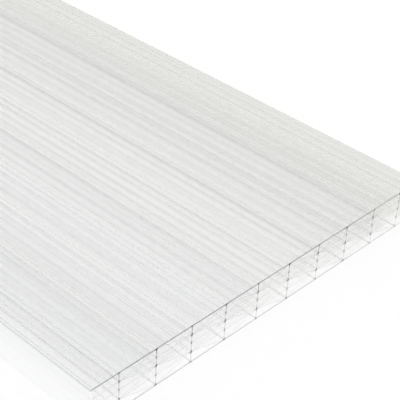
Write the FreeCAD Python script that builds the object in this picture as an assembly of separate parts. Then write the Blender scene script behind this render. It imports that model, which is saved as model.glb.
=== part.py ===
import FreeCAD, Part
import math
import os

# Multiwall sheet lying flat. X runs across the ribs, Y along the flutes, Z is up.
# The origin is the centre of the bottom face. All sizes are in millimetres.

# Length and ribs
sheet_length = 2000.0
rib_pitch = 25.0
rib_count = 10
# From the centre of the outermost rib to the outer face of the closed long edge
edge_cell_width = 18.0

# Depths from the bottom face up, measured to the centres of the three inner walls
bottom_layer_depth = 7.2
lower_middle_layer_depth = 6.2
upper_middle_layer_depth = 5.4
top_layer_depth = 6.2

# Wall thicknesses
skin_thickness = 0.7
edge_wall_thickness = 0.7
rib_thickness = 0.4
inner_wall_thickness = 0.15
diagonal_thickness = 0.12

# Rounding of the long outer corners
outer_corner_radius = 0.5
# Rounding of the flutes in the edge cells
edge_flute_radius = 0.4

# Melt that gathers in the corners of the triangular flutes, as small hollow fillets
# Between a rib and a level wall, measured along each
plain_fillet_height = 0.6
plain_fillet_reach = 0.25
# Between a rib and a diagonal
bead_fillet_height = 1.3
bead_fillet_reach = 0.35
# Between a level wall and a diagonal
sharp_fillet_reach = 0.35

# Arcs closer together than this meet without a straight edge
shortest_edge = 0.001

# Sizes that follow from the ones above
sheet_thickness = bottom_layer_depth + lower_middle_layer_depth + upper_middle_layer_depth + top_layer_depth
sheet_width = (rib_count - 1) * rib_pitch + 2 * edge_cell_width
lower_wall_height = bottom_layer_depth
middle_wall_height = lower_wall_height + lower_middle_layer_depth
upper_wall_height = middle_wall_height + upper_middle_layer_depth
rib_centres = [(index - (rib_count - 1) / 2) * rib_pitch for index in range(rib_count)]

# Centre height and thickness of each level wall, from the top skin down
level_walls = [
    (sheet_thickness - skin_thickness / 2, skin_thickness),
    (upper_wall_height, inner_wall_thickness),
    (middle_wall_height, inner_wall_thickness),
    (lower_wall_height, inner_wall_thickness),
    (skin_thickness / 2, skin_thickness),
]


def section_point(x, z):
    """A point of the cross-section, on the cut end at the low end of Y."""
    return FreeCAD.Vector(x, -sheet_length / 2, z)


def rounded_outline(corners, setbacks):
    """Closed wire through corner points, each rounded from its setback before it to as far past it."""
    arcs = []
    for index, (corner, setback) in enumerate(zip(corners, setbacks)):
        to_last = (corners[index - 1] - corner).normalize()
        to_next = (corners[(index + 1) % len(corners)] - corner).normalize()
        half_angle = to_last.getAngle(to_next) / 2
        radius = setback * math.tan(half_angle)
        inset = radius / math.sin(half_angle) - radius
        inward = (to_last + to_next).normalize()
        arcs.append((corner + to_last * setback, corner + inward * inset, corner + to_next * setback))
    edges = []
    for index, (start, middle, end) in enumerate(arcs):
        next_start = arcs[(index + 1) % len(arcs)][0]
        edges.append(Part.Arc(start, middle, end).toShape())
        if not end.isEqual(next_start, shortest_edge):
            edges.append(Part.LineSegment(end, next_start).toShape())
    return Part.Wire(edges)


def filleted_outline(corners):
    """Closed wire through (point, last reach, next reach) corners, each filled by a hollow fillet.

    A fillet starts as a straight cut, and the reaches are how far the cut runs towards the last
    point and towards the next one. Both ends of the cut are then rounded over half its length.
    """
    cut_ends = []
    setbacks = []
    for index, (point, last_reach, next_reach) in enumerate(corners):
        to_last = (corners[index - 1][0] - point).normalize()
        to_next = (corners[(index + 1) % len(corners)][0] - point).normalize()
        start = point + to_last * last_reach
        end = point + to_next * next_reach
        cut_ends += [start, end]
        setbacks += [start.distanceToPoint(end) / 2] * 2
    return rounded_outline(cut_ends, setbacks)


def rectangle_outline(left, right, bottom, top, radius):
    """Rounded rectangle across the cross-section."""
    corners = [(left, bottom), (right, bottom), (right, top), (left, top)]
    return rounded_outline([section_point(x, z) for x, z in corners], [radius] * len(corners))


def layer_gap(layer):
    """Heights of the floor and the ceiling of a layer's clear space. Layer 0 is the top one."""
    upper_centre, upper_thickness = level_walls[layer]
    lower_centre, lower_thickness = level_walls[layer + 1]
    return lower_centre + lower_thickness / 2, upper_centre - upper_thickness / 2


def triangular_flute(rib_and_wall, rib_and_diagonal, wall_and_diagonal):
    """Outline of a flute from its three sharp corners, with the melt fillet of each."""
    return filleted_outline([
        (rib_and_wall, plain_fillet_reach, plain_fillet_height),
        (rib_and_diagonal, bead_fillet_height, bead_fillet_reach),
        (wall_and_diagonal, sharp_fillet_reach, sharp_fillet_reach),
    ])


def diagonal_flutes(left_face, right_face, layer, high_at_left):
    """The two triangular flutes that one diagonal leaves between two ribs in one layer.

    The diagonal's middle plane runs from corner to corner of the layer's clear space.
    """
    floor, ceiling = layer_gap(layer)
    high_face, low_face = (left_face, right_face) if high_at_left else (right_face, left_face)
    slope = (ceiling - floor) / (high_face - low_face)
    half_thickness = diagonal_thickness / 2 * math.hypot(1, slope)
    above = [
        section_point(low_face, ceiling),
        section_point(low_face, floor + half_thickness),
        section_point(high_face - half_thickness / slope, ceiling),
    ]
    below = [
        section_point(high_face, floor),
        section_point(high_face, ceiling - half_thickness),
        section_point(low_face + half_thickness / slope, floor),
    ]
    return [triangular_flute(*above), triangular_flute(*below)]


def full_cells():
    """Flutes of the cells between ribs. The diagonals zigzag down and mirror at every rib."""
    outlines = []
    for cell, (left_centre, right_centre) in enumerate(zip(rib_centres, rib_centres[1:])):
        left_face = left_centre + rib_thickness / 2
        right_face = right_centre - rib_thickness / 2
        for layer in range(len(level_walls) - 1):
            high_at_left = (cell + layer) % 2 == 1
            outlines += diagonal_flutes(left_face, right_face, layer, high_at_left)
    return outlines


def edge_cells():
    """Flutes of the narrow cells along both closed edges, which have level walls only."""
    outer_face = sheet_width / 2 - edge_wall_thickness
    rib_face = rib_centres[-1] + rib_thickness / 2
    outlines = []
    for layer in range(len(level_walls) - 1):
        floor, ceiling = layer_gap(layer)
        outlines.append(rectangle_outline(-outer_face, -rib_face, floor, ceiling, edge_flute_radius))
        outlines.append(rectangle_outline(rib_face, outer_face, floor, ceiling, edge_flute_radius))
    return outlines


def multiwall_sheet():
    """The whole sheet as one extruded solid."""
    outside = rectangle_outline(-sheet_width / 2, sheet_width / 2, 0, sheet_thickness, outer_corner_radius)
    section = Part.makeFace([outside] + full_cells() + edge_cells(), "Part::FaceMakerBullseye")
    return section.extrude(FreeCAD.Vector(0, sheet_length, 0))


os.makedirs("parts", exist_ok=True)
sheet = multiwall_sheet()
sheet.exportStep("parts/multiwall_sheet.step")
box = sheet.BoundBox
print("box", box.XMin, box.XMax, box.YMin, box.YMax, box.ZMin, box.ZMax)
print("solids", len(sheet.Solids), "faces", len(sheet.Faces), "valid", sheet.isValid())
print("volume in cubic centimetres", sheet.Volume / 1000)
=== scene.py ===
import math

import bpy
from mathutils import Matrix, Vector


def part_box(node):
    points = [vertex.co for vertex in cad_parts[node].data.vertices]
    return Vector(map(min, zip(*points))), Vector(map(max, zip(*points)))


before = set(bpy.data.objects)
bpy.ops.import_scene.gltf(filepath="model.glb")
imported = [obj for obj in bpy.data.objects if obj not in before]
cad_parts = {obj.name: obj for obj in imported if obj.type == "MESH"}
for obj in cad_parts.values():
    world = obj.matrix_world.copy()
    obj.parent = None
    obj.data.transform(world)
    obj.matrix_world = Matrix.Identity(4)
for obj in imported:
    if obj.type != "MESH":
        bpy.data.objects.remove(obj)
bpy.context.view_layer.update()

# The sheet lies flat: X runs across the ribs, Y along the flutes, Z is up. All is in metres.
HALF_WIDTH, HALF_LENGTH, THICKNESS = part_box("multiwall_sheet")[1]

# Camera, in degrees, fitted to the edges and ribs in the photograph
IMAGE_WIDTH_IN_PIXELS = 400
LENS_IN_PIXELS = 1206.3
SENSOR_WIDTH = 36.0
CAMERA_AZIMUTH = 47.67
CAMERA_ELEVATION = 34.72
CAMERA_ROLL = 3.12
CAMERA_PLACE = (-0.4028, -1.3104, 0.4206)
PIXEL_FILTER = 1.7

# Studio light: a white sky, which glass sees a little dimmer overhead
WHITE = (1.0, 1.0, 1.0)
WHITE_STRENGTH = 1.0
SKY_HORIZON = 1.0
SKY_ZENITH = 0.75
SKY_ON_MATT = 1.0
LIGHT_BOUNCES = 96

# Floor
FLOOR_HALF_SIZE = 40.0
FLOOR_DROP = 0.0005
FLOOR_SEEN_WHITE = 0.85

# Clear polycarbonate
REFRACTION = 1.58
ABSORPTION_COLOUR = (0.0, 0.1, 0.05)
ABSORPTION_DENSITY = 1.5

# Tint of the walls, cool on the left and warmer from there on, with a slow wander
COOL_TINT = (0.9976, 1.0, 0.9999)
WARM_TINT = (1.0, 0.9996, 0.9987)
WARM_PLACE = (-0.12, -0.065)
WARM_SHARE = (0.1, 0.75)
WANDER_SCALE = 22.0
WANDER_DETAIL = 2.0
WANDER_RANGE = (0.35, 0.65)
WANDER_SHARE = (-0.35, 0.35)
# Dull towards the right, then yellowish in the right edge cell and at its rim
DULL_TINT = (0.9818, 0.9818, 0.9803)
DULL_PLACE = (0.045, 0.1)
EDGE_TINT = (0.997, 0.997, 0.9905)
EDGE_PLACE = (0.108, 0.113)
RIM_TINT = (0.91, 0.9105, 0.887)
RIM_PLACE = (0.119, 0.1255)

# Streaks where the melt drew out thicker or thinner along the flutes
FLOW_SCALE = 290.0
FLOW_DETAIL = 1.0
FLOW_STRETCH = 0.002
FLOW_RANGE = (0.38, 0.56)
FLOW_DARK = (0.989, 0.9891, 0.9882)
# The top skin, where the streaks are strongest
TOP_SKIN = 0.001
TOP_FLOW_DARK = (0.936, 0.9388, 0.9373)

# Draw lines left by the extrusion die, which run along the flutes
DRAW_SCALE = 120.0
DRAW_DETAIL = 1.0
DRAW_STRETCH = 0.004
DRAW_HEIGHT = 0.00001

# Sawn ends, darker from a share of the thickness up by painted shade, and more matt, so paler,
# towards the bottom by painted light
CUT_DEPTH = 0.00005
CUT_COLOUR = (0.93, 0.935, 0.93)
CUT_TOP_SHADE_COLOUR = (0.6, 0.605, 0.6)
CUT_DARKER_FROM = 0.7
CUT_ROUGHNESS = 0.45
CUT_MATT_LOW = 0.55
CUT_MATT_HIGH = 0.35
SAW_SCALE = 2500.0
SAW_DETAIL = 2.0
SAW_STRETCH = 0.1
SAW_HEIGHT = 0.00003

# Beads of melt where the ribs meet the inner walls and the skins, dark on the cut by painted
# shade
RIB_PITCH = 0.025
BEAD_HEIGHTS = (0.0, 0.0072, 0.0134, 0.0188)
BEAD_WIDTH = (0.0004, 0.0012)
BEAD_LENGTH = (0.0006, 0.0018)
BEAD_SHADE_COLOUR = (0.38, 0.385, 0.38)
TOP_BEAD_LENGTH = (0.0015, 0.005)
TOP_BEAD_SHADE_COLOUR = (0.12, 0.122, 0.12)

# Closed long edges, milky, and more matt towards the bottom
SIDE_WALL = 0.0007
SIDE_SKIN = (0.0004, 0.0001)
SIDE_COLOUR = (0.97, 0.98, 0.975)
SIDE_ROUGHNESS = 0.25
SIDE_MATT_LOW = 0.9
SIDE_MATT_HIGH = 0.35
# Painted light: the cut of the closed edges is made near fully matt and pale.
SIDE_CUT_MATT = 0.95
# Painted shade: a dark line along the upper corner of the left edge
LEFT_EDGE_SHADE_DEPTH = (0.0014, 0.0004)
LEFT_EDGE_SHADE_COLOUR = (0.62, 0.63, 0.625)


def camera():
    """Camera at the photograph's place, turned by azimuth, elevation and roll."""
    angles = (CAMERA_AZIMUTH, CAMERA_ELEVATION, CAMERA_ROLL)
    azimuth, elevation, roll = (math.radians(angle) for angle in angles)
    level_ahead = Vector((math.sin(azimuth), math.cos(azimuth), 0))
    ahead = level_ahead * math.cos(elevation) - Vector((0, 0, math.sin(elevation)))
    level_right = Vector((math.cos(azimuth), -math.sin(azimuth), 0))
    level_up = level_right.cross(ahead)
    right = level_right * math.cos(roll) + level_up * math.sin(roll)
    up = level_up * math.cos(roll) - level_right * math.sin(roll)
    data = bpy.data.cameras.new("camera")
    data.sensor_width = SENSOR_WIDTH
    data.lens = LENS_IN_PIXELS / IMAGE_WIDTH_IN_PIXELS * SENSOR_WIDTH
    viewer = bpy.data.objects.new("camera", data)
    bpy.context.scene.collection.objects.link(viewer)
    turn = Matrix((right, up, -ahead)).transposed().to_4x4()
    viewer.matrix_world = Matrix.Translation(CAMERA_PLACE) @ turn
    bpy.context.scene.camera = viewer


class Nodes:
    """Adds and links nodes. An input is a number, a colour or another node's output."""

    def __init__(self, tree):
        self.tree = tree

    def add(self, kind, inputs=None, **settings):
        node = self.tree.nodes.new("ShaderNode" + kind)
        for name, value in settings.items():
            setattr(node, name, value)
        for key, value in (inputs or {}).items():
            self.feed(node.inputs[key], value)
        return node

    def feed(self, socket, value):
        if isinstance(value, bpy.types.NodeSocket):
            self.tree.links.new(value, socket)
        elif socket.type == "RGBA":
            socket.default_value = (*value, 1)
        else:
            socket.default_value = value

    def math(self, operation, first, second=0.0, clamp=False):
        inputs = {0: first, 1: second}
        return self.add("Math", inputs, operation=operation, use_clamp=clamp).outputs[0]

    def ramp(self, value, low, high, to_low=0.0, to_high=1.0):
        limits = {"From Min": low, "From Max": high, "To Min": to_low, "To Max": to_high}
        return self.add("MapRange", {"Value": value, **limits}).outputs[0]

    def blend(self, share, first, second):
        inputs = {0: share, 2: first, 3: second}
        return self.add("Mix", inputs, data_type="FLOAT").outputs[0]

    def blend_colour(self, share, first, second, how="MIX"):
        inputs = {0: share, 6: first, 7: second}
        return self.add("Mix", inputs, data_type="RGBA", blend_type=how).outputs[2]

    def point(self, x, y, z):
        return self.add("CombineXYZ", {0: x, 1: y, 2: z}).outputs[0]

    def noise(self, place, scale, detail):
        inputs = {"Vector": place, "Scale": scale, "Detail": detail}
        return self.add("TexNoise", inputs).outputs["Fac"]


def studio_light():
    scene = bpy.context.scene
    scene.view_settings.view_transform = "Standard"
    scene.cycles.max_bounces = LIGHT_BOUNCES
    scene.cycles.transmission_bounces = LIGHT_BOUNCES
    scene.cycles.glossy_bounces = LIGHT_BOUNCES
    scene.cycles.blur_glossy = 0.0
    scene.cycles.filter_width = PIXEL_FILTER
    world = bpy.data.worlds.new("studio")
    scene.world = world
    world.use_nodes = True
    world.cycles.sampling_method = "NONE"
    nodes = Nodes(world.node_tree)
    direction = nodes.add("TexCoord").outputs["Generated"]
    height = nodes.math("ABSOLUTE", nodes.add("SeparateXYZ", {0: direction}).outputs["Z"])
    sky = nodes.ramp(height, 0.0, 1.0, SKY_HORIZON, SKY_ZENITH)
    path = nodes.add("LightPath").outputs
    on_matt = nodes.blend(path["Is Diffuse Ray"], sky, SKY_ON_MATT)
    strength = nodes.blend(path["Is Camera Ray"], on_matt, WHITE_STRENGTH)
    nodes.feed(world.node_tree.nodes["Background"].inputs["Strength"], strength)
    nodes.feed(world.node_tree.nodes["Background"].inputs["Color"], WHITE)


def white_floor():
    """White paper: matt where it catches the sheet's shadow, plain white through the sheet."""
    material = bpy.data.materials.new("white_floor")
    material.use_nodes = True
    material.cycles.emission_sampling = "NONE"
    nodes = Nodes(material.node_tree)
    matt = material.node_tree.nodes["Principled BSDF"]
    nodes.feed(matt.inputs["Base Color"], WHITE)
    nodes.feed(matt.inputs["Roughness"], 1.0)
    nodes.feed(matt.inputs["Specular IOR Level"], 0.0)
    path = nodes.add("LightPath").outputs
    through = nodes.math("MAXIMUM", path["Is Glossy Ray"], path["Is Transmission Ray"])
    direct = nodes.math("MULTIPLY", path["Is Camera Ray"], FLOOR_SEEN_WHITE)
    share = nodes.math("ADD", through, direct)
    white = nodes.add("Emission", {"Strength": WHITE_STRENGTH})
    shown = nodes.add("MixShader", {0: share, 1: matt.outputs[0], 2: white.outputs[0]})
    nodes.feed(material.node_tree.nodes["Material Output"].inputs["Surface"], shown.outputs[0])
    return material


def floor():
    size = FLOOR_HALF_SIZE
    corners = [(-size, -size), (size, -size), (size, size), (-size, size)]
    mesh = bpy.data.meshes.new("floor")
    mesh.from_pydata([(x, y, -FLOOR_DROP) for x, y in corners], [], [range(len(corners))])
    mesh.materials.append(white_floor())
    ground = bpy.data.objects.new("floor", mesh)
    bpy.context.scene.collection.objects.link(ground)


def drawn_out(nodes, x, y, z, stretch):
    """A place whose noise is drawn out along the flutes."""
    return nodes.point(x, nodes.math("MULTIPLY", y, stretch), z)


def relief(nodes, x, y, z, cut):
    """Draw lines along the flutes and saw marks across the cut."""
    drawn = drawn_out(nodes, x, y, z, DRAW_STRETCH)
    lines = nodes.math("MULTIPLY", nodes.noise(drawn, DRAW_SCALE, DRAW_DETAIL), DRAW_HEIGHT)
    sawn = nodes.point(x, nodes.math("MULTIPLY", z, SAW_STRETCH), 0.0)
    marks = nodes.math("MULTIPLY", nodes.noise(sawn, SAW_SCALE, SAW_DETAIL), SAW_HEIGHT)
    height = nodes.blend(cut, lines, marks)
    return nodes.add("Bump", {"Height": height, "Distance": 1.0}).outputs[0]


def tint(nodes, x, y, z):
    """Faint tint that changes across the width."""
    wander = nodes.noise(drawn_out(nodes, x, y, z, DRAW_STRETCH), WANDER_SCALE, WANDER_DETAIL)
    wander = nodes.ramp(wander, *WANDER_RANGE, *WANDER_SHARE)
    across = nodes.ramp(x, *WARM_PLACE, *WARM_SHARE)
    warmth = nodes.math("ADD", wander, across, clamp=True)
    colour = nodes.blend_colour(warmth, COOL_TINT, WARM_TINT)
    colour = nodes.blend_colour(nodes.ramp(x, *DULL_PLACE), colour, DULL_TINT)
    colour = nodes.blend_colour(nodes.ramp(x, *EDGE_PLACE), colour, EDGE_TINT)
    return nodes.blend_colour(nodes.ramp(x, *RIM_PLACE), colour, RIM_TINT)


def streaks(nodes, x, y, z):
    """Faint streaks along the flutes, which shade the tint."""
    flow = nodes.noise(drawn_out(nodes, x, y, 0.0, FLOW_STRETCH), FLOW_SCALE, FLOW_DETAIL)
    on_top = nodes.math("GREATER_THAN", z, THICKNESS - TOP_SKIN)
    dark = nodes.blend_colour(on_top, FLOW_DARK, TOP_FLOW_DARK)
    return nodes.blend_colour(nodes.ramp(flow, *FLOW_RANGE), dark, WHITE)


def side_colour(nodes, x, z):
    """Milky closed edge, with a painted shade line along the upper corner on the left."""
    # Painted shade along the upper corner of the left edge.
    left_edge_shade = nodes.ramp(nodes.math("SUBTRACT", THICKNESS, z), *LEFT_EDGE_SHADE_DEPTH)
    left_edge_shade = nodes.math("MULTIPLY", left_edge_shade, nodes.math("LESS_THAN", x, 0.0))
    return nodes.blend_colour(left_edge_shade, SIDE_COLOUR, LEFT_EDGE_SHADE_COLOUR)


def bead_shaded(nodes, x, z, colour):
    """Colour of the cut with painted shade on the beads of melt on its ribs."""
    from_rib = nodes.math("SUBTRACT", x, RIB_PITCH / 2)
    from_rib = nodes.math("PINGPONG", from_rib, RIB_PITCH / 2)
    on_rib = nodes.ramp(from_rib, *BEAD_WIDTH, 1.0, 0.0)
    from_joint = 1.0
    for height in BEAD_HEIGHTS:
        from_this = nodes.math("ABSOLUTE", nodes.math("SUBTRACT", z, height))
        from_joint = nodes.math("MINIMUM", from_joint, from_this)
    bead = nodes.math("MULTIPLY", on_rib, nodes.ramp(from_joint, *BEAD_LENGTH, 1.0, 0.0))
    from_top = nodes.math("SUBTRACT", THICKNESS, z)
    top_bead = nodes.math("MULTIPLY", on_rib, nodes.ramp(from_top, *TOP_BEAD_LENGTH, 1.0, 0.0))
    # Painted shade on the beads of melt, darkest below the top skin.
    colour = nodes.blend_colour(bead, colour, BEAD_SHADE_COLOUR)
    return nodes.blend_colour(top_bead, colour, TOP_BEAD_SHADE_COLOUR)


def cut_colour(nodes, x, z, side_wall):
    """Sawn end, darker along the top skin by painted shade and pale where it cuts the closed
    edges by painted light.
    """
    # Painted shade: the cut darkens from a share of the thickness up to the top skin.
    darker = nodes.ramp(z, THICKNESS * CUT_DARKER_FROM, THICKNESS)
    colour = nodes.blend_colour(darker, CUT_COLOUR, CUT_TOP_SHADE_COLOUR)
    below_skin = nodes.math("LESS_THAN", z, THICKNESS - TOP_SKIN)
    # Painted light: the cut of the closed edges is painted pale below the top skin.
    pale = nodes.math("MULTIPLY", side_wall, below_skin)
    return bead_shaded(nodes, x, z, nodes.blend_colour(pale, colour, SIDE_COLOUR))


def matt_share(nodes, z, cut, side, side_wall):
    """Share of matt, milky surface on the closed edges from outside and on the cut. On the cut
    it grows towards the bottom and is near full where the closed edges are cut, painted light
    that makes the cut paler there.
    """
    outside = nodes.math("SUBTRACT", 1.0, nodes.add("NewGeometry").outputs["Backfacing"])
    milky = nodes.ramp(z, 0.0, THICKNESS, SIDE_MATT_LOW, SIDE_MATT_HIGH)
    milky = nodes.math("MULTIPLY", nodes.math("MULTIPLY", side, milky), outside)
    # Painted light: the cut is more matt, and so paler, towards the bottom and where it crosses
    # the closed edges.
    sawn_matt_and_painted_light = nodes.ramp(z, 0.0, THICKNESS, CUT_MATT_LOW, CUT_MATT_HIGH)
    sawn_matt_and_painted_light = nodes.math("MAXIMUM", sawn_matt_and_painted_light, nodes.math("MULTIPLY", side_wall, SIDE_CUT_MATT))
    return nodes.math("ADD", milky, nodes.math("MULTIPLY", cut, sawn_matt_and_painted_light), clamp=True)


def clear_polycarbonate():
    """Clear extruded plastic with draw lines, sawn ends and milky closed edges."""
    material = bpy.data.materials.new("clear_polycarbonate")
    material.use_nodes = True
    nodes = Nodes(material.node_tree)
    place = nodes.add("TexCoord").outputs["Object"]
    x, y, z = nodes.add("SeparateXYZ", {0: place}).outputs
    from_middle = nodes.math("ABSOLUTE", x)
    cut = nodes.math("GREATER_THAN", nodes.math("ABSOLUTE", y), HALF_LENGTH - CUT_DEPTH)
    side = nodes.ramp(from_middle, *(HALF_WIDTH - depth for depth in SIDE_SKIN))
    side_wall = nodes.math("GREATER_THAN", from_middle, HALF_WIDTH - SIDE_WALL)

    walls = nodes.blend_colour(1.0, tint(nodes, x, y, z), streaks(nodes, x, y, z), "MULTIPLY")
    walls = nodes.blend_colour(side, walls, side_colour(nodes, x, z))
    colour = nodes.blend_colour(cut, walls, cut_colour(nodes, x, z, side_wall))
    roughness = nodes.blend(cut, nodes.math("MULTIPLY", side, SIDE_ROUGHNESS), CUT_ROUGHNESS)
    clear = nodes.math("SUBTRACT", 1.0, matt_share(nodes, z, cut, side, side_wall))

    surface = material.node_tree.nodes["Principled BSDF"]
    nodes.feed(surface.inputs["Base Color"], colour)
    nodes.feed(surface.inputs["Roughness"], roughness)
    nodes.feed(surface.inputs["IOR"], REFRACTION)
    nodes.feed(surface.inputs["Transmission Weight"], clear)
    nodes.feed(surface.inputs["Normal"], relief(nodes, x, y, z, cut))
    absorption = {"Color": ABSORPTION_COLOUR, "Density": ABSORPTION_DENSITY}
    absorbed = nodes.add("VolumeAbsorption", absorption)
    nodes.feed(material.node_tree.nodes["Material Output"].inputs["Volume"], absorbed.outputs[0])
    return material


camera()
studio_light()
floor()
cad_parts["multiwall_sheet"].material_slots[0].material = clear_polycarbonate()
